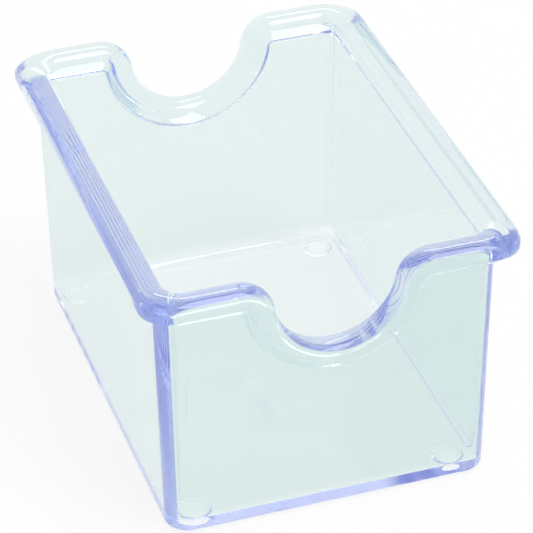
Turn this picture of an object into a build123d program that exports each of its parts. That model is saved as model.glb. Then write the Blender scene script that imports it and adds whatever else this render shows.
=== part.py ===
from build123d import *
from math import asin, atan2, cos, degrees, hypot, pi, radians, sin, sqrt, tan
import os

# Clear open-topped box for sugar packets. Origin on the table under its middle, +Y along its length,
# +Z up. The front is the -Y end and the left is the -X side. Sizes are in millimetres and degrees.

# Overall sizes, over the rolled rim and from the table to the crest of the rim
rim_length = 95.8
rim_width = 72.1
height = 55.0

# Walls, which lean outward on the way up
wall = 2.3
wall_lean = 1.13
base_edge_radius = 0.9

# Floor, with a fillet all round that turns up into the walls
floor_thickness = 1.8
floor_fillet = 0.3
floor_corner_radius = 2.0

# Rolled rim: crowned between two rounded edges, with an overhanging lip. Its underside slopes down from the
# lip's edge and runs back to the wall as a nearly level ledge.
rim_depth = 5.9
lip_overhang = 3.5
lip_height = 3.35
lip_edge_radius = 0.3
ledge_rise = 0.45
ledge_width = 1.5
ledge_slope = 6.0
crest_inner_radius = 2.05
crest_outer_radius = 2.0
crown_radius = 4.0

# Finger gap in each end: a round dip between two rounded shoulders
gap_depth = 15.8
gap_radius = 11.9
shoulder_root_radius = 0.6

# Feet, each set in from two edges of the floor
foot_diameter = 6.0
foot_height = 0.6
foot_inset = 3.8
foot_edge_radius = 0.3

# Levels and plan sizes that follow from the sizes above
lean = radians(wall_lean)
underside = foot_height
floor_top = foot_height + floor_thickness

# Crown of the rim: an arc that is tangent to the inner and the outer rounding, whose tops are level.
# Centres are (outward, upward) from the crest line, which runs level with those tops.
inner_centre = (crest_inner_radius - wall, -crest_inner_radius)
outer_centre = (lip_overhang - crest_outer_radius, -crest_outer_radius)


def crown_axis():
    """Centre of the crown's arc, from its distances to the centres of the two roundings."""
    across = outer_centre[0] - inner_centre[0]
    rise = outer_centre[1] - inner_centre[1]
    spacing = hypot(across, rise)
    inner_gap = crown_radius - crest_inner_radius
    outer_gap = crown_radius - crest_outer_radius
    along = (spacing ** 2 + inner_gap ** 2 - outer_gap ** 2) / (2 * spacing)
    below = sqrt(inner_gap ** 2 - along ** 2)
    outward = inner_centre[0] + (along * across + below * rise) / spacing
    upward = inner_centre[1] + (along * rise - below * across) / spacing
    return outward, upward


crown_centre = crown_axis()
crown_rise = crown_centre[1] * cos(lean) - crown_centre[0] * sin(lean) + crown_radius
crest_level = height - crown_rise
crest_reach = (lip_overhang - crest_outer_radius) * cos(lean) + crest_outer_radius * (1 - sin(lean))
half_width = rim_width / 2 - crest_reach
half_length = rim_length / 2 - crest_reach


def outer_face(level):
    """Distance of a wall's outer face from its own crest line, at a height above the table."""
    return -(crest_level - level) * tan(lean)


def inner_face(level):
    """The same for the wall's inner face."""
    return outer_face(level) - wall / cos(lean)


def turn_run(radius):
    """Length that a rounding takes up along each side of the corner between a level face and a wall."""
    return radius * tan(pi / 4 - lean / 2)


# Plan of the corners: everything at a corner turns about one upright axis
floor_edge = inner_face(floor_top) - turn_run(floor_fillet)
crest_corner_radius = floor_corner_radius - floor_edge
corner_x = half_width - crest_corner_radius
corner_y = half_length - crest_corner_radius
foot_x = half_width + floor_edge - foot_inset
foot_y = half_length + floor_edge - foot_inset

# Finger gap arcs: the shoulders and the dip meet at a common tangent
shoulder_radius = rim_depth + shoulder_root_radius
arc_spacing = gap_radius + shoulder_radius
gap_half_width = sqrt(arc_spacing ** 2 - (arc_spacing - gap_depth) ** 2)
gap_turn = atan2(gap_half_width, arc_spacing - gap_depth)

# Directions and corner axes for the front end and the left side
front = Vector(0, -1, 0)
left = Vector(-1, 0, 0)
up = Vector(0, 0, 1)
front_square = front * cos(lean) - up * sin(lean)
front_upward = front * sin(lean) + up * cos(lean)
front_crest = Vector(0, -half_length, crest_level)
front_left_corner = Vector(-corner_x, -corner_y, 0)
front_right_corner = Vector(corner_x, -corner_y, 0)
rear_left_corner = Vector(-corner_x, corner_y, 0)


def on_wall(outward, upward):
    """Section point measured square to the leaning wall and along it, from the crest of its outer face."""
    across = outward * cos(lean) + upward * sin(lean)
    rise = upward * cos(lean) - outward * sin(lean)
    return Vector(across, crest_level + rise)


def touch_point(start, centre, radius):
    """Where a line from start touches a circle, with the circle on the left of the line."""
    across = centre[0] - start[0]
    rise = centre[1] - start[1]
    distance = hypot(across, rise)
    slope = atan2(rise, across) - asin(radius / distance)
    run = sqrt(distance ** 2 - radius ** 2)
    return start[0] + run * cos(slope), start[1] + run * sin(slope)


def on_crown(angle):
    """Point of the crown's arc in the rim's section."""
    return crown_centre[0] + crown_radius * cos(angle), crown_centre[1] + crown_radius * sin(angle)


def heading(start, end):
    """Direction from one section point to another, as an angle from the outward direction."""
    return atan2(end[1] - start[1], end[0] - start[0])


def rim_section():
    """Rim from its joint with the wall: over the crown, down the lip and back along its underside."""
    outer_root = (0, -rim_depth)
    ledge_root = (0, ledge_rise - rim_depth)
    ledge_end = (ledge_width, ledge_root[1] + ledge_width * tan(radians(ledge_slope)))
    edge_centre = (lip_overhang - lip_edge_radius, lip_edge_radius - lip_height)
    inner_turn = heading(crown_centre, inner_centre)
    outer_turn = heading(crown_centre, outer_centre)
    corners = [
        (-wall, -rim_depth),
        (-wall, -crest_inner_radius),
        on_crown(inner_turn),
        on_crown((inner_turn + outer_turn) / 2),
        on_crown(outer_turn),
        (lip_overhang, -crest_outer_radius),
        (lip_overhang, edge_centre[1]),
        touch_point(ledge_end, edge_centre, lip_edge_radius),
        ledge_end,
        ledge_root,
        outer_root,
    ]
    points = [on_wall(*corner) for corner in corners]
    inner_foot, inner_bend, crown_start, crown_middle, crown_end = points[:5]
    lip_start, lip_end, edge_end, ledge_start, ledge_foot, outer_foot = points[5:]
    edges = [
        Line(inner_foot, inner_bend),
        TangentArc(inner_bend, crown_start, tangent=inner_bend - inner_foot),
        ThreePointArc(crown_start, crown_middle, crown_end),
        TangentArc(lip_start, crown_end, tangent=lip_start - lip_end),
        Line(lip_start, lip_end),
        TangentArc(lip_end, edge_end, tangent=lip_end - lip_start),
        Line(edge_end, ledge_start),
        Line(ledge_start, ledge_foot),
        Line(ledge_foot, outer_foot),
        Line(outer_foot, inner_foot),
    ]
    return Face(Wire(edges))


def wall_section():
    """Wall from the underside to the joint with the rim, with the fillet that turns into the floor."""
    upward = Vector(sin(lean), cos(lean))
    level = Vector(1, 0)
    outer_joint = on_wall(0, -rim_depth)
    inner_joint = on_wall(-wall, -rim_depth)
    base_corner = Vector(outer_face(underside), underside)
    base_round = turn_run(base_edge_radius)
    floor_corner = Vector(inner_face(floor_top), floor_top)
    edge_below = Vector(floor_edge, underside)
    edge_above = Vector(floor_edge, floor_top)
    base_start = base_corner - level * base_round
    base_end = base_corner + upward * base_round
    fillet_end = floor_corner + upward * turn_run(floor_fillet)
    edges = [
        Line(edge_below, base_start),
        TangentArc(base_start, base_end, tangent=level),
        Line(base_end, outer_joint),
        Line(outer_joint, inner_joint),
        Line(inner_joint, fillet_end),
        TangentArc(edge_above, fillet_end, tangent=level),
        Line(edge_above, edge_below),
    ]
    return Face(Wire(edges))


def place(section, point, outward):
    """Stands a section upright at a plan point, facing outward."""
    plane = Plane(origin=point, x_dir=outward, z_dir=outward.cross(up))
    return section.moved(plane.location)


def half_corners(section, outward, first, second):
    """The two eighth turns that carry a straight run half way round the corners at its ends."""
    eighth_turn = degrees(pi / 4)
    turns = []
    for corner, angle in ((first, -eighth_turn), (second, eighth_turn)):
        start = place(section, corner + outward * crest_corner_radius, outward)
        turns.append(Solid.revolve(start, angle, Axis(corner, up)))
    return turns


def side_run(section):
    """Left run of a section, with half of the corner at each end."""
    start = place(section, rear_left_corner + left * crest_corner_radius, left)
    straight = Solid.extrude(start, front_left_corner - rear_left_corner)
    first, second = half_corners(section, left, rear_left_corner, front_left_corner)
    return first.fuse(straight, second)


def front_turn(section, centre_x, centre_drop, start, angle):
    """Turns a section, given at the front end, about an axis square to the front wall."""
    centre = front_crest + Vector(centre_x, 0, 0) - front_upward * centre_drop
    axis = Axis(centre, front_square)
    return Solid.revolve(section.rotate(axis, start), angle, axis)


def build_side_wall():
    return side_run(wall_section())


def build_side_rim():
    return side_run(rim_section())


def build_end_rim():
    """Front rim: from the left corner along the crest, down round the finger gap and up again."""
    section = rim_section()
    first, second = half_corners(section, front, front_left_corner, front_right_corner)
    stub = Vector(corner_x - gap_half_width, 0, 0)
    corner_reach = front * crest_corner_radius
    left_stub = Solid.extrude(place(section, front_left_corner + corner_reach, front), stub)
    right_stub = Solid.extrude(place(section, front_right_corner + corner_reach, front), -stub)
    turn = degrees(gap_turn)
    crest_line = Vector(0, -half_length, 0)
    gap_edge = Vector(gap_half_width, 0, 0)
    left_edge = place(section, crest_line - gap_edge, front)
    right_edge = place(section, crest_line + gap_edge, front)
    left_shoulder = front_turn(left_edge, -gap_half_width, shoulder_radius, 0, -turn)
    right_shoulder = front_turn(right_edge, gap_half_width, shoulder_radius, 0, turn)
    lowest = place(section, crest_line, front).moved(Location(front_upward * -gap_depth))
    dip = front_turn(lowest, 0, gap_depth - gap_radius, -turn, 2 * turn)
    return first.fuse(left_stub, left_shoulder, dip, right_shoulder, right_stub, second)


def gap_cutter():
    """Prism through the front wall, above the line where the dipping rim meets it."""
    root_radius = gap_radius + rim_depth
    meet_x = root_radius * sin(gap_turn)
    meet_y = gap_radius - gap_depth - root_radius * cos(gap_turn)
    shoulder_start = Vector(-gap_half_width, -rim_depth)
    shoulder_end = Vector(gap_half_width, -rim_depth)
    dip_start = Vector(-meet_x, meet_y)
    dip_end = Vector(meet_x, meet_y)
    dip_heading = Vector(cos(gap_turn), -sin(gap_turn))
    edges = [
        Line(Vector(-gap_half_width, 0), shoulder_start),
        TangentArc(shoulder_start, dip_start, tangent=Vector(1, 0)),
        TangentArc(dip_start, dip_end, tangent=dip_heading),
        TangentArc(shoulder_end, dip_end, tangent=Vector(-1, 0)),
        Line(shoulder_end, Vector(gap_half_width, 0)),
        Line(Vector(gap_half_width, 0), Vector(-gap_half_width, 0)),
    ]
    # the prism starts and ends one wall thickness clear of the wall's two faces
    margin = wall
    plane = Plane(origin=front_crest + front_square * margin, x_dir=(1, 0, 0), z_dir=front_square)
    return Solid.extrude(Face(Wire(edges)).moved(plane.location), -front_square * (wall + 2 * margin))


def build_end_wall():
    """Front wall with half of the corner at each end, cut away under the dipping rim."""
    section = wall_section()
    first, second = half_corners(section, front, front_left_corner, front_right_corner)
    start = place(section, front_left_corner + front * crest_corner_radius, front)
    straight = Solid.extrude(start, front_right_corner - front_left_corner)
    return first.fuse(straight.cut(gap_cutter()), second)


def build_floor():
    """Flat floor plate, as far as the fillets of the walls."""
    width = 2 * (half_width + floor_edge)
    length = 2 * (half_length + floor_edge)
    outline = RectangleRounded(width, length, floor_corner_radius)
    return extrude(Pos(0, 0, underside) * outline, floor_thickness)


def build_foot(x, y):
    """Round foot under the floor, with a softened lower edge."""
    foot = Pos(x, y, foot_height / 2) * Cylinder(foot_diameter / 2, foot_height)
    lower_edge = foot.edges().filter_by(GeomType.CIRCLE).sort_by(Axis.Z)[0]
    return fillet(lower_edge, foot_edge_radius)


def half_turn(shape):
    """The same shape on the opposite side of the box."""
    return shape.rotate(Axis.Z, degrees(pi))


front_end_wall = build_end_wall()
front_rim = build_end_rim()
left_side_wall = build_side_wall()
left_rim = build_side_rim()

nodes = {
    "floor_panel": build_floor(),
    "front_end_wall": front_end_wall,
    "rear_end_wall": half_turn(front_end_wall),
    "left_side_wall": left_side_wall,
    "right_side_wall": half_turn(left_side_wall),
    "front_rim": front_rim,
    "rear_rim": half_turn(front_rim),
    "left_rim": left_rim,
    "right_rim": half_turn(left_rim),
}
for end, y_sign in (("front", -1), ("rear", 1)):
    for side, x_sign in (("left", -1), ("right", 1)):
        name = f"foot_{end}_{side}"
        nodes[name] = build_foot(x_sign * foot_x, y_sign * foot_y)

os.makedirs("parts", exist_ok=True)
for name, shape in nodes.items():
    export_step(shape, f"parts/{name}.step")
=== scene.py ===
from collections import namedtuple
from math import asin, atan2, cos, hypot, pi, radians, sin, sqrt, tan

import bmesh
import bpy
from mathutils import Matrix, Vector


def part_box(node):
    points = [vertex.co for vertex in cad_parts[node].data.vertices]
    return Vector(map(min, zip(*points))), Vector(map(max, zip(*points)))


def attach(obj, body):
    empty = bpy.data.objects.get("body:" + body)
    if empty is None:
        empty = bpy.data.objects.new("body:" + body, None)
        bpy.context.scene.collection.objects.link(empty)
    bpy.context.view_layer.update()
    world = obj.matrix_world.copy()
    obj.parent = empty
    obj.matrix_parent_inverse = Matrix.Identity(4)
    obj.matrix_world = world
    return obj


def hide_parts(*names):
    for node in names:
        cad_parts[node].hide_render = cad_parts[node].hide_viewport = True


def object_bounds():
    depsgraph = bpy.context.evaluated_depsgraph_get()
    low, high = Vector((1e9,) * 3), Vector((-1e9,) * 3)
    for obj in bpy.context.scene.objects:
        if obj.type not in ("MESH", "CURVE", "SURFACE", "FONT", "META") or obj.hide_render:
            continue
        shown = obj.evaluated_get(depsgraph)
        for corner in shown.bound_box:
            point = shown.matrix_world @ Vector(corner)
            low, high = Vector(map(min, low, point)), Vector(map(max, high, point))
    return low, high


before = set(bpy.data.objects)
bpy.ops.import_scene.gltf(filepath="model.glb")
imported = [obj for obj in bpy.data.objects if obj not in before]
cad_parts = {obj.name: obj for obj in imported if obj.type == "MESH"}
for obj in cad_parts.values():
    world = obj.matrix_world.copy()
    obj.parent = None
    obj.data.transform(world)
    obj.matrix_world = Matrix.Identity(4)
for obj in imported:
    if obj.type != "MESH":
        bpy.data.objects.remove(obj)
cad_low, cad_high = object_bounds()
mm = 0.001

# Levels of the floor plate, from the frame
floor_low, floor_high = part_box("floor_panel")
underside = floor_low.z
floor_top = floor_high.z

# Wall and floor
wall = 2.3 * mm
lean = radians(1.13)
base_edge_radius = 0.9 * mm
floor_fillet = 0.3 * mm
corner_radius = 5.6 * mm
inner_corner_radius = 0.4 * mm
corner_sharpening_depth = 1.6 * mm
floor_corner_radius = floor_fillet + inner_corner_radius
floor_corner_rise = 6.0 * mm

# Rolled rim
rim_depth = 5.9 * mm
lip_overhang = 3.5 * mm
lip_crease_depth = 2.1 * mm
lip_height = 3.35 * mm
lip_flare = radians(2.0)
lip_edge_radius = 0.3 * mm
lip_corner_tightening = 3.6 * mm
crest_inner_radius = 2.05 * mm
crest_outer_radius = 2.0 * mm
crown_radius = 4.0 * mm
ledge_rise = 0.45 * mm
ledge_width = 1.5 * mm
ledge_slope = radians(6.0)
ledge_edge_radius = 0.45 * mm
root_fillet = 0.4 * mm

# Finger gaps
gap_depth = 15.8 * mm
gap_radius = 11.9 * mm
shoulder_root_radius = 0.6 * mm
shoulder_radius = rim_depth + shoulder_root_radius

# Feet
foot_edge_run = 1.2 * mm
foot_root_radius = 0.15 * mm

# Divisions of the mesh
side_steps = 12
corner_steps = 12
stub_steps = 4
shoulder_steps = 16
dip_steps = 56
wall_steps = 18
crest_steps = 12
edge_steps = 6
ring_steps = 48
flat_face_weight = 100

# Clear plastic. The tints are the colours of the light that comes through: the plastic's faint mint plus
# painted shade that stands in for the shadow seen through the box, deeper on the walls than on the floor
# plate.
wall_tint_and_painted_shade = (0.80, 0.90, 0.88)
floor_tint_and_painted_shade = (0.93, 0.98, 0.968)
cloud_depth = 0.15
cloud_size = 18.0 * mm
plastic_ior = 1.57
polish_finest = 0.004
polish_dullest = 0.02
polish_grain = 4.0 * mm
floor_wear = 0.06
level_tolerance = 0.01
ripple_size = 7.0 * mm
ripple_height = 0.0015 * mm
pattern_detail = 2.0
absorption_per_metre = 8.0
absorption_colour = (0.25, 0.33, 0.86)
light_bounces = 128

# Stage, in metres and watts
white = (1.0, 1.0, 1.0, 1.0)
floor_size = 4.0
floor_glow = 0.86
floor_white = 0.97
room_light = 0.5
room_seen = 1.0
lamp_aim = (0, 0, 0.03)
key_place = (0.65, -0.9, 2.25)
key_size = (1.3, 1.9)
key_power = 33.0
top_place = (0.55, 1.2, 1.7)
top_size = (1.2, 0.25)
top_power = 5.0

# Camera, from the box's edges in the photograph
camera_position = Vector((-149.35, -461.77, 355.43)) * mm
camera_heading = radians(-18.12)
camera_dip = radians(34.15)
camera_roll = radians(-0.65)
camera_lens = 203.7
camera_sensor = 36.0
camera_nearest = 0.01

# Sockets of Blender's Mix node, for numbers and for colours
number_a, number_b, number_result = 2, 3, 0
colour_a, colour_b, colour_result = 6, 7, 2

# Crown of the rim: an arc tangent to the inner and the outer rounding
inner_centre = Vector((crest_inner_radius - wall, -crest_inner_radius))
outer_centre = Vector((lip_overhang - crest_outer_radius, -crest_outer_radius))


def crown_axis():
    """Centre of the crown's arc, as (outward, upward) from the crest line."""
    span = outer_centre - inner_centre
    inner_gap = crown_radius - crest_inner_radius
    outer_gap = crown_radius - crest_outer_radius
    along = (span.length ** 2 + inner_gap ** 2 - outer_gap ** 2) / (2 * span.length)
    across = span.normalized()
    below = Vector((across.y, -across.x))
    return inner_centre + across * along + below * sqrt(inner_gap ** 2 - along ** 2)


crown_centre = crown_axis()
crown_rise = crown_centre.y * cos(lean) - crown_centre.x * sin(lean) + crown_radius

# Crest line of the walls, so that the rim fills the overall size in the frame
crest_reach = (lip_overhang - crest_outer_radius) * cos(lean) + crest_outer_radius * (1 - sin(lean))
height = cad_high.z - crown_rise
half_width = cad_high.x - crest_reach
half_length = cad_high.y - crest_reach
corner_x = half_width - corner_radius
corner_y = half_length - corner_radius
arc_spacing = gap_radius + shoulder_radius
gap_half_width = sqrt(arc_spacing ** 2 - (arc_spacing - gap_depth) ** 2)
gap_turn = atan2(gap_half_width, arc_spacing - gap_depth)
upright = pi / 2 - lean


def outer_face(level):
    """Distance of a wall's outer face from its own crest line, at a height above the table."""
    return -(height - level) * tan(lean)


def inner_face(level):
    """The same for the inner face."""
    return outer_face(level) - wall / cos(lean)


def turn_run(radius):
    """Length that a rounding takes up along each side of the corner between a level face and a wall."""
    return radius * tan(pi / 4 - lean / 2)


floor_edge = inner_face(floor_top) - turn_run(floor_fillet)


def share(low, high, steps):
    """Evenly spaced values from low up to, but not including, high."""
    return [low + (high - low) * k / steps for k in range(steps)]


def arc(centre, radius, start, stop, steps):
    """Points of an arc, both ends included. Angles in radians."""
    angles = share(start, stop, steps) + [stop]
    return [(centre[0] + radius * cos(a), centre[1] + radius * sin(a)) for a in angles]


def smooth_step(value):
    """Soft rise from 0 to 1, level at both ends."""
    part = min(1.0, max(0.0, value))
    return part * part * (3 - 2 * part)


# Perimeter
# A station is a place on the crest line: its plan point, the outward direction, the drop and the turn of
# the crest in a finger gap, and the signs of the corner. A corner's plan point depends on its radius.

Station = namedtuple("Station", "plan facing drop turn corner")


def shoulder(side, turn):
    """Place on the rounded shoulder of a gap: distance from the gap's middle, drop and turn."""
    return side * gap_half_width + shoulder_radius * sin(turn), shoulder_radius * (1 - cos(turn)), turn


def dip(turn):
    """Place on the round bottom of a gap."""
    return -gap_radius * sin(turn), gap_depth - gap_radius * (1 - cos(turn)), turn


def end_run(sign):
    """Stations along one end, across its finger gap."""
    run = [(x, 0.0, 0.0) for x in share(-corner_x, -gap_half_width, stub_steps)]
    run += [shoulder(-1, turn) for turn in share(0.0, gap_turn, shoulder_steps)]
    run += [dip(turn) for turn in share(gap_turn, -gap_turn, dip_steps)]
    run += [shoulder(1, turn) for turn in share(-gap_turn, 0.0, shoulder_steps)]
    run += [(x, 0.0, 0.0) for x in share(gap_half_width, corner_x, stub_steps)]
    outward = Vector((0.0, sign))
    stations = []
    for x, drop, turn in run:
        stations.append(Station(Vector((-sign * x, sign * half_length)), outward, drop, turn, None))
    return stations


def side_run(sign):
    """Stations along one long side."""
    outward = Vector((sign, 0.0))
    ys = share(-corner_y, corner_y, side_steps)
    return [Station(Vector((sign * half_width, sign * y)), outward, 0.0, 0.0, None) for y in ys]


def corner_run(x_sign, y_sign, start):
    """Stations round one corner."""
    angles = share(start, start + pi / 2, corner_steps)
    return [Station(None, Vector((cos(a), sin(a))), 0.0, 0.0, (x_sign, y_sign)) for a in angles]


def perimeter():
    """Stations once round the box, anticlockwise from above, starting at the front left."""
    stations = end_run(-1) + corner_run(1, -1, -pi / 2) + side_run(1) + corner_run(1, 1, 0.0)
    stations += end_run(1) + corner_run(-1, 1, pi / 2) + side_run(-1) + corner_run(-1, -1, pi)
    return stations


# Section

def crest_points():
    """Top of the rim: inner rounding, crown and outer rounding."""
    inner_turn = atan2(inner_centre.y - crown_centre.y, inner_centre.x - crown_centre.x)
    outer_turn = atan2(outer_centre.y - crown_centre.y, outer_centre.x - crown_centre.x)
    inner = arc(inner_centre, crest_inner_radius, pi, inner_turn, crest_steps)
    crown = arc(crown_centre, crown_radius, inner_turn, outer_turn, crest_steps)[1:-1]
    outer = arc(outer_centre, crest_outer_radius, outer_turn, 0.0, crest_steps)
    return inner + crown + outer


def lip_points():
    """Outside of the rim: lip edge, slanting underside, ledge and root on the wall."""
    edge_level = lip_edge_radius - lip_height
    flare_run = (-lip_crease_depth - edge_level) * tan(lip_flare)
    edge_centre = (lip_overhang - lip_edge_radius / cos(lip_flare) + flare_run, edge_level)
    ledge_level = ledge_rise - rim_depth
    knee = (ledge_width, ledge_level + ledge_width * tan(ledge_slope))
    away = (edge_centre[0] - knee[0], edge_centre[1] - knee[1])
    slope = atan2(away[1], away[0]) - asin(lip_edge_radius / hypot(*away))
    knee_run = ledge_edge_radius * tan((slope - ledge_slope) / 2)
    knee_centre = (knee[0] - knee_run * cos(ledge_slope) - ledge_edge_radius * sin(ledge_slope),
                   knee[1] - knee_run * sin(ledge_slope) + ledge_edge_radius * cos(ledge_slope))
    root_centre = (root_fillet, ledge_level - root_fillet / tan(pi / 4 + ledge_slope / 2))
    points = [(lip_overhang, -lip_crease_depth)]
    points += arc(edge_centre, lip_edge_radius, lip_flare, slope - pi / 2, edge_steps)
    points += arc(knee_centre, ledge_edge_radius, slope - pi / 2, ledge_slope - pi / 2, edge_steps)
    points += arc(root_centre, root_fillet, ledge_slope + pi / 2, pi, edge_steps)
    return points


def rim_profile():
    """Rim section as (outward, upward) from the crest of the wall's outer face, from inside to outside."""
    lip = lip_points()
    joint = [(-wall, depth) for depth in share(lip[-1][1], -crest_inner_radius, edge_steps)]
    return joint + crest_points() + lip


def rim_corner(outward, upward):
    """Plan radius of a corner at a point of the rim's section, squarer than concentric on the lip."""
    low = min(1.0, max(0.0, -upward / crest_outer_radius))
    out = min(1.0, max(0.0, outward / lip_overhang))
    return corner_radius + outward - lip_corner_tightening * low * out


def inner_corner(depth):
    """Plan radius of the cavity's corner, from the rounded crest down to the sharp one of the walls."""
    ease = smooth_step((-depth - crest_inner_radius) / corner_sharpening_depth)
    return (corner_radius - wall) * (1 - ease) + inner_corner_radius * ease


def cavity_corner(rise):
    """Plan radius of the cavity's corner on the wall, opening toward the floor."""
    ease = smooth_step(rise / floor_corner_rise)
    return floor_corner_radius * (1 - ease) + inner_corner_radius * ease


def on_level(station, across, along, level, radius):
    """Point at a height above the table, at a distance outward from the crest line and along it."""
    facing = station.facing
    if station.corner is None:
        plan = station.plan + facing * across + Vector((-facing.y, facing.x)) * along
    else:
        x_sign, y_sign = station.corner
        reach = across - radius
        centre = Vector((x_sign * (half_width + reach), y_sign * (half_length + reach)))
        plan = centre + facing * radius
    return Vector((plan.x, plan.y, level))


def on_wall(station, outward, along, upward, radius=None):
    """Point measured square to the leaning wall, along it and up it, from the crest of its outer face."""
    across = outward * cos(lean) + upward * sin(lean)
    level = height + upward * cos(lean) - outward * sin(lean)
    return on_level(station, across, along, level, corner_radius + across if radius is None else radius)


def inside_points(station, along, joint):
    """Floor fillet and inner face of the wall, up to the rim."""
    points = []
    for angle in share(0.0, upright, edge_steps):
        across = floor_edge + floor_fillet * sin(angle)
        level = floor_top + floor_fillet * (1 - cos(angle))
        radius = floor_corner_radius + across - inner_face(floor_top)
        points.append(on_level(station, across, along, level, radius))
    fillet_end = (floor_top + turn_run(floor_fillet) * cos(lean) - height - wall * sin(lean)) / cos(lean)
    for upward in share(fillet_end, joint, wall_steps):
        points.append(on_wall(station, -wall, along, upward, cavity_corner(upward - fillet_end)))
    return points


def rim_points(station, profile):
    """Rim section, turned with the crest in a finger gap."""
    points = []
    for outward, depth in profile:
        upward = -station.drop + depth * cos(station.turn)
        below_crest = outward < crest_inner_radius - wall and depth <= -crest_inner_radius
        radius = inner_corner(depth) if below_crest else rim_corner(outward, depth)
        points.append(on_wall(station, outward, depth * sin(station.turn), upward, radius))
    return points


def outside_points(station, along, joint):
    """Outer face of the wall below the rim and the rounded base edge."""
    base_run = turn_run(base_edge_radius)
    base_end = (underside + base_run * cos(lean) - height) / cos(lean)
    points = [on_wall(station, 0.0, along, upward) for upward in share(joint, base_end, wall_steps)[1:]]
    for angle in share(upright, 0.0, edge_steps) + [0.0]:
        across = outer_face(underside) - base_run + base_edge_radius * sin(angle)
        level = underside + base_edge_radius * (1 - cos(angle))
        points.append(on_level(station, across, along, level, corner_radius + across))
    return points


def station_column(station, profile):
    """Points of the whole section at a station, from the floor over the rim to the base edge."""
    joint_depth = profile[-1][1]
    along = joint_depth * sin(station.turn)
    joint = -station.drop + joint_depth * cos(station.turn)
    inside = inside_points(station, along, joint)
    return inside + rim_points(station, profile) + outside_points(station, along, joint)


# Clear moulding

def ring(mesh, centre, radius, level):
    """Closed loop of vertices round an upright axis."""
    angles = share(0.0, 2 * pi, ring_steps)
    return [mesh.verts.new((centre.x + radius * cos(a), centre.y + radius * sin(a), level)) for a in angles]


def loop_edges(mesh, loop):
    """Edges round a closed loop of vertices, made where they are missing."""
    edges = []
    for first, second in zip(loop, loop[1:] + loop[:1]):
        edges.append(mesh.edges.get((first, second)) or mesh.edges.new((first, second)))
    return edges


def bridge(mesh, upper, lower):
    """Band of quads between two loops with as many vertices."""
    count = len(upper)
    for k in range(count):
        mesh.faces.new((upper[k], upper[(k + 1) % count], lower[(k + 1) % count], lower[k]))


def fill_flat(mesh, loops):
    """Flat face inside the first loop, with the others as holes."""
    edges = [edge for loop in loops for edge in loop_edges(mesh, loop)]
    bmesh.ops.triangle_fill(mesh, use_beauty=True, use_dissolve=False, edges=edges)


def add_foot(mesh, name):
    """Round foot with a softened lower edge. Returns the loop where it meets the underside."""
    low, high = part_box(name)
    centre = (low + high) / 2
    radius = (high.x - low.x) / 2
    root_centre = (radius + foot_root_radius, underside - foot_root_radius)
    rows = arc(root_centre, foot_root_radius, pi / 2, pi, edge_steps)
    edge_rise = underside - foot_root_radius - low.z
    edge = arc((0.0, 0.0), 1.0, 0.0, -pi / 2, 2 * edge_steps)[1:]
    rows += [(radius + foot_edge_run * (x - 1), low.z + edge_rise * (1 + y)) for x, y in edge]
    loops = [ring(mesh, centre, r, z) for r, z in rows]
    for upper, lower in zip(loops, loops[1:]):
        bridge(mesh, upper, lower)
    mesh.faces.new(loops[-1])
    return loops[0]


def build_moulding():
    """The whole box as one closed skin."""
    mesh = bmesh.new()
    profile = rim_profile()
    columns = [[mesh.verts.new(p) for p in station_column(s, profile)] for s in perimeter()]
    count = len(columns)
    for k in range(count):
        here, there = columns[k], columns[(k + 1) % count]
        for j in range(len(here) - 1):
            mesh.faces.new((here[j], there[j], there[j + 1], here[j + 1]))
    fill_flat(mesh, [[column[0] for column in columns]])
    feet = [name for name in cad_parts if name.startswith("foot_")]
    holes = [add_foot(mesh, name) for name in sorted(feet)]
    fill_flat(mesh, [[column[-1] for column in columns]] + holes)
    bmesh.ops.recalc_face_normals(mesh, faces=mesh.faces)
    for face in mesh.faces:
        face.smooth = True
    data = bpy.data.meshes.new("clear_box")
    mesh.to_mesh(data)
    mesh.free()
    piece = bpy.data.objects.new("clear_box", data)
    bpy.context.scene.collection.objects.link(piece)
    normals = piece.modifiers.new("flat_faces_stay_flat", "WEIGHTED_NORMAL")
    normals.weight = flat_face_weight
    normals.keep_sharp = True
    return piece


# Materials

def new_material(name):
    """Empty material with its nodes, links and output."""
    material = bpy.data.materials.new(name)
    material.use_nodes = True
    nodes = material.node_tree.nodes
    nodes.clear()
    output = nodes.new("ShaderNodeOutputMaterial")
    return material, nodes, material.node_tree.links, output


def maths(nodes, links, operation, *values):
    """Math node whose inputs are sockets or numbers."""
    node = nodes.new("ShaderNodeMath")
    node.operation = operation
    for socket, value in zip(node.inputs, values):
        if isinstance(value, (int, float)):
            socket.default_value = value
        else:
            links.new(value, socket)
    return node.outputs[0]


def noise(nodes, links, place, size):
    """Cloudy pattern fixed to the part, with features of about a size."""
    pattern = nodes.new("ShaderNodeTexNoise")
    pattern.inputs["Scale"].default_value = 1 / size
    pattern.inputs["Detail"].default_value = pattern_detail
    links.new(place, pattern.inputs["Vector"])
    return pattern.outputs["Fac"]


def remap(nodes, links, value, low, high):
    """Values from 0 to 1, spread from low to high."""
    node = nodes.new("ShaderNodeMapRange")
    node.inputs["To Min"].default_value = low
    node.inputs["To Max"].default_value = high
    links.new(value, node.inputs["Value"])
    return node.outputs["Result"]


def wall_share(nodes, links, level):
    """0 on the floor plate and 1 on the walls, with a soft change between them."""
    rise = nodes.new("ShaderNodeMapRange")
    rise.interpolation_type = "SMOOTHSTEP"
    rise.inputs["From Min"].default_value = floor_top
    rise.inputs["From Max"].default_value = floor_top + wall
    links.new(level, rise.inputs["Value"])
    return rise.outputs["Result"]


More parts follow.
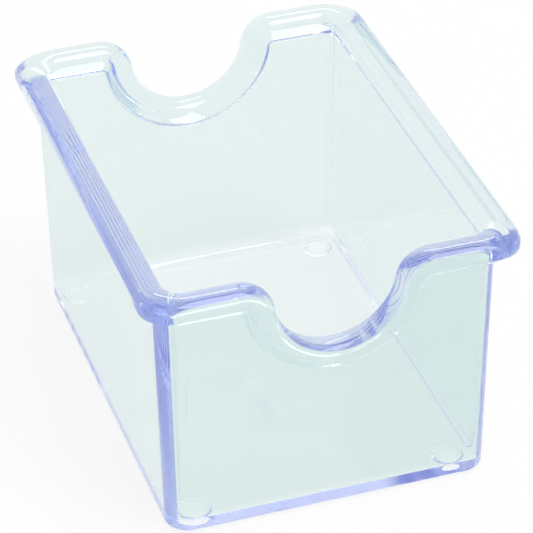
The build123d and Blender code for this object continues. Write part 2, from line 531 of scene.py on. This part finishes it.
def upper_floor_face(nodes, links, level, normal):
    """1 on the face that the packets stand on, otherwise 0."""
    facing = nodes.new("ShaderNodeSeparateXYZ")
    links.new(normal, facing.inputs["Vector"])
    steepness = maths(nodes, links, "ABSOLUTE", facing.outputs["Z"])
    on_floor = maths(nodes, links, "COMPARE", level, floor_top, floor_fillet)
    is_level = maths(nodes, links, "COMPARE", steepness, 1.0, level_tolerance)
    return maths(nodes, links, "MULTIPLY", on_floor, is_level)


def clear_plastic():
    """Polished clear plastic that turns blue along the long ways through it."""
    material, nodes, links, output = new_material("clear_plastic")
    surface = nodes.new("ShaderNodeBsdfPrincipled")
    coordinates = nodes.new("ShaderNodeTexCoord")
    place = coordinates.outputs["Object"]
    axes = nodes.new("ShaderNodeSeparateXYZ")
    links.new(place, axes.inputs["Vector"])
    level = axes.outputs["Z"]
    cloud = remap(nodes, links, noise(nodes, links, place, cloud_size), 1.0, 1.0 - cloud_depth)
    # Painted shade: the base colour runs from the paler floor tint to the deeper wall tint. Together they
    # stand in for the shadow seen through the box as well as the plastic's own mint.
    painted_shade_tint = nodes.new("ShaderNodeMix")
    painted_shade_tint.data_type = "RGBA"
    painted_shade_tint.inputs[colour_a].default_value = (*floor_tint_and_painted_shade, 1.0)
    painted_shade_tint.inputs[colour_b].default_value = (*wall_tint_and_painted_shade, 1.0)
    links.new(maths(nodes, links, "MULTIPLY", wall_share(nodes, links, level), cloud), painted_shade_tint.inputs["Factor"])
    links.new(painted_shade_tint.outputs[colour_result], surface.inputs["Base Color"])
    grain = noise(nodes, links, place, polish_grain)
    polish = remap(nodes, links, grain, polish_finest, polish_dullest)
    worn = upper_floor_face(nodes, links, level, coordinates.outputs["Normal"])
    roughness = maths(nodes, links, "MULTIPLY_ADD", worn, floor_wear, polish)
    links.new(roughness, surface.inputs["Roughness"])
    ripple = nodes.new("ShaderNodeBump")
    ripple.inputs["Strength"].default_value = 1.0
    ripple.inputs["Distance"].default_value = ripple_height
    links.new(noise(nodes, links, place, ripple_size), ripple.inputs["Height"])
    links.new(ripple.outputs["Normal"], surface.inputs["Normal"])
    surface.inputs["IOR"].default_value = plastic_ior
    surface.inputs["Transmission Weight"].default_value = 1.0
    links.new(surface.outputs["BSDF"], output.inputs["Surface"])
    depth = nodes.new("ShaderNodeVolumeAbsorption")
    depth.inputs["Color"].default_value = (*absorption_colour, 1.0)
    depth.inputs["Density"].default_value = absorption_per_metre
    links.new(depth.outputs["Volume"], output.inputs["Volume"])
    return material


# Stage

def seen_directly(nodes, links):
    """1 for rays from the camera, from a mirror-like surface or through clear plastic, otherwise 0."""
    rays = nodes.new("ShaderNodeLightPath").outputs
    plain = maths(nodes, links, "MAXIMUM", rays["Is Camera Ray"], rays["Is Glossy Ray"])
    return maths(nodes, links, "MAXIMUM", plain, rays["Is Transmission Ray"])


def floor_material():
    """White floor that looks white to the camera and keeps part of the shadow."""
    material, nodes, links, output = new_material("white_floor")
    paper = nodes.new("ShaderNodeBsdfDiffuse")
    paper.inputs["Color"].default_value = (floor_white, floor_white, floor_white, 1.0)
    glow = nodes.new("ShaderNodeEmission")
    glow.inputs["Color"].default_value = white
    glow.inputs["Strength"].default_value = 1.0
    mix = nodes.new("ShaderNodeMixShader")
    links.new(maths(nodes, links, "MULTIPLY", seen_directly(nodes, links), floor_glow), mix.inputs["Fac"])
    links.new(paper.outputs["BSDF"], mix.inputs[1])
    links.new(glow.outputs["Emission"], mix.inputs[2])
    links.new(mix.outputs["Shader"], output.inputs["Surface"])
    return material


def build_floor():
    """Square of white paper under the box."""
    corners = [(-1, -1), (1, -1), (1, 1), (-1, 1)]
    points = [(x * floor_size / 2, y * floor_size / 2, 0.0) for x, y in corners]
    data = bpy.data.meshes.new("floor")
    data.from_pydata(points, [], [(0, 1, 2, 3)])
    floor = bpy.data.objects.new("floor", data)
    bpy.context.scene.collection.objects.link(floor)
    data.materials.append(floor_material())


def build_world():
    """White surroundings."""
    world = bpy.data.worlds.new("white_room")
    world.use_nodes = True
    nodes, links = world.node_tree.nodes, world.node_tree.links
    background = nodes["Background"]
    background.inputs["Color"].default_value = white
    strength = nodes.new("ShaderNodeMix")
    strength.data_type = "FLOAT"
    strength.inputs[number_a].default_value = room_light
    strength.inputs[number_b].default_value = room_seen
    links.new(seen_directly(nodes, links), strength.inputs["Factor"])
    links.new(strength.outputs[number_result], background.inputs["Strength"])
    bpy.context.scene.world = world


def add_softbox(name, place, size, power):
    """Rectangular area lamp, aimed at the box."""
    light = bpy.data.lights.new(name, "AREA")
    light.shape = "RECTANGLE"
    light.size, light.size_y = size
    light.energy = power
    lamp = bpy.data.objects.new(name, light)
    bpy.context.scene.collection.objects.link(lamp)
    lamp.location = place
    lamp.rotation_euler = (Vector(lamp_aim) - Vector(place)).to_track_quat("-Z", "Y").to_euler()


def build_camera():
    """Camera at the photograph's viewing angle."""
    data = bpy.data.cameras.new("camera")
    data.sensor_width = camera_sensor
    data.lens = camera_lens
    data.clip_start = camera_nearest
    camera = bpy.data.objects.new("camera", data)
    bpy.context.scene.collection.objects.link(camera)
    turn = Matrix.Rotation(camera_heading, 4, "Z") @ Matrix.Rotation(pi / 2 - camera_dip, 4, "X")
    turn = turn @ Matrix.Rotation(camera_roll, 4, "Z")
    camera.matrix_world = Matrix.Translation(camera_position) @ turn
    bpy.context.scene.camera = camera


box = build_moulding()
box.data.materials.append(clear_plastic())
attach(box, "root")
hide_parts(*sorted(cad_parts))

build_floor()
build_world()
add_softbox("key", key_place, key_size, key_power)
add_softbox("top", top_place, top_size, top_power)
build_camera()

scene = bpy.context.scene
scene.view_settings.view_transform = "Standard"
scene.cycles.max_bounces = light_bounces
scene.cycles.glossy_bounces = light_bounces
scene.cycles.transmission_bounces = light_bounces
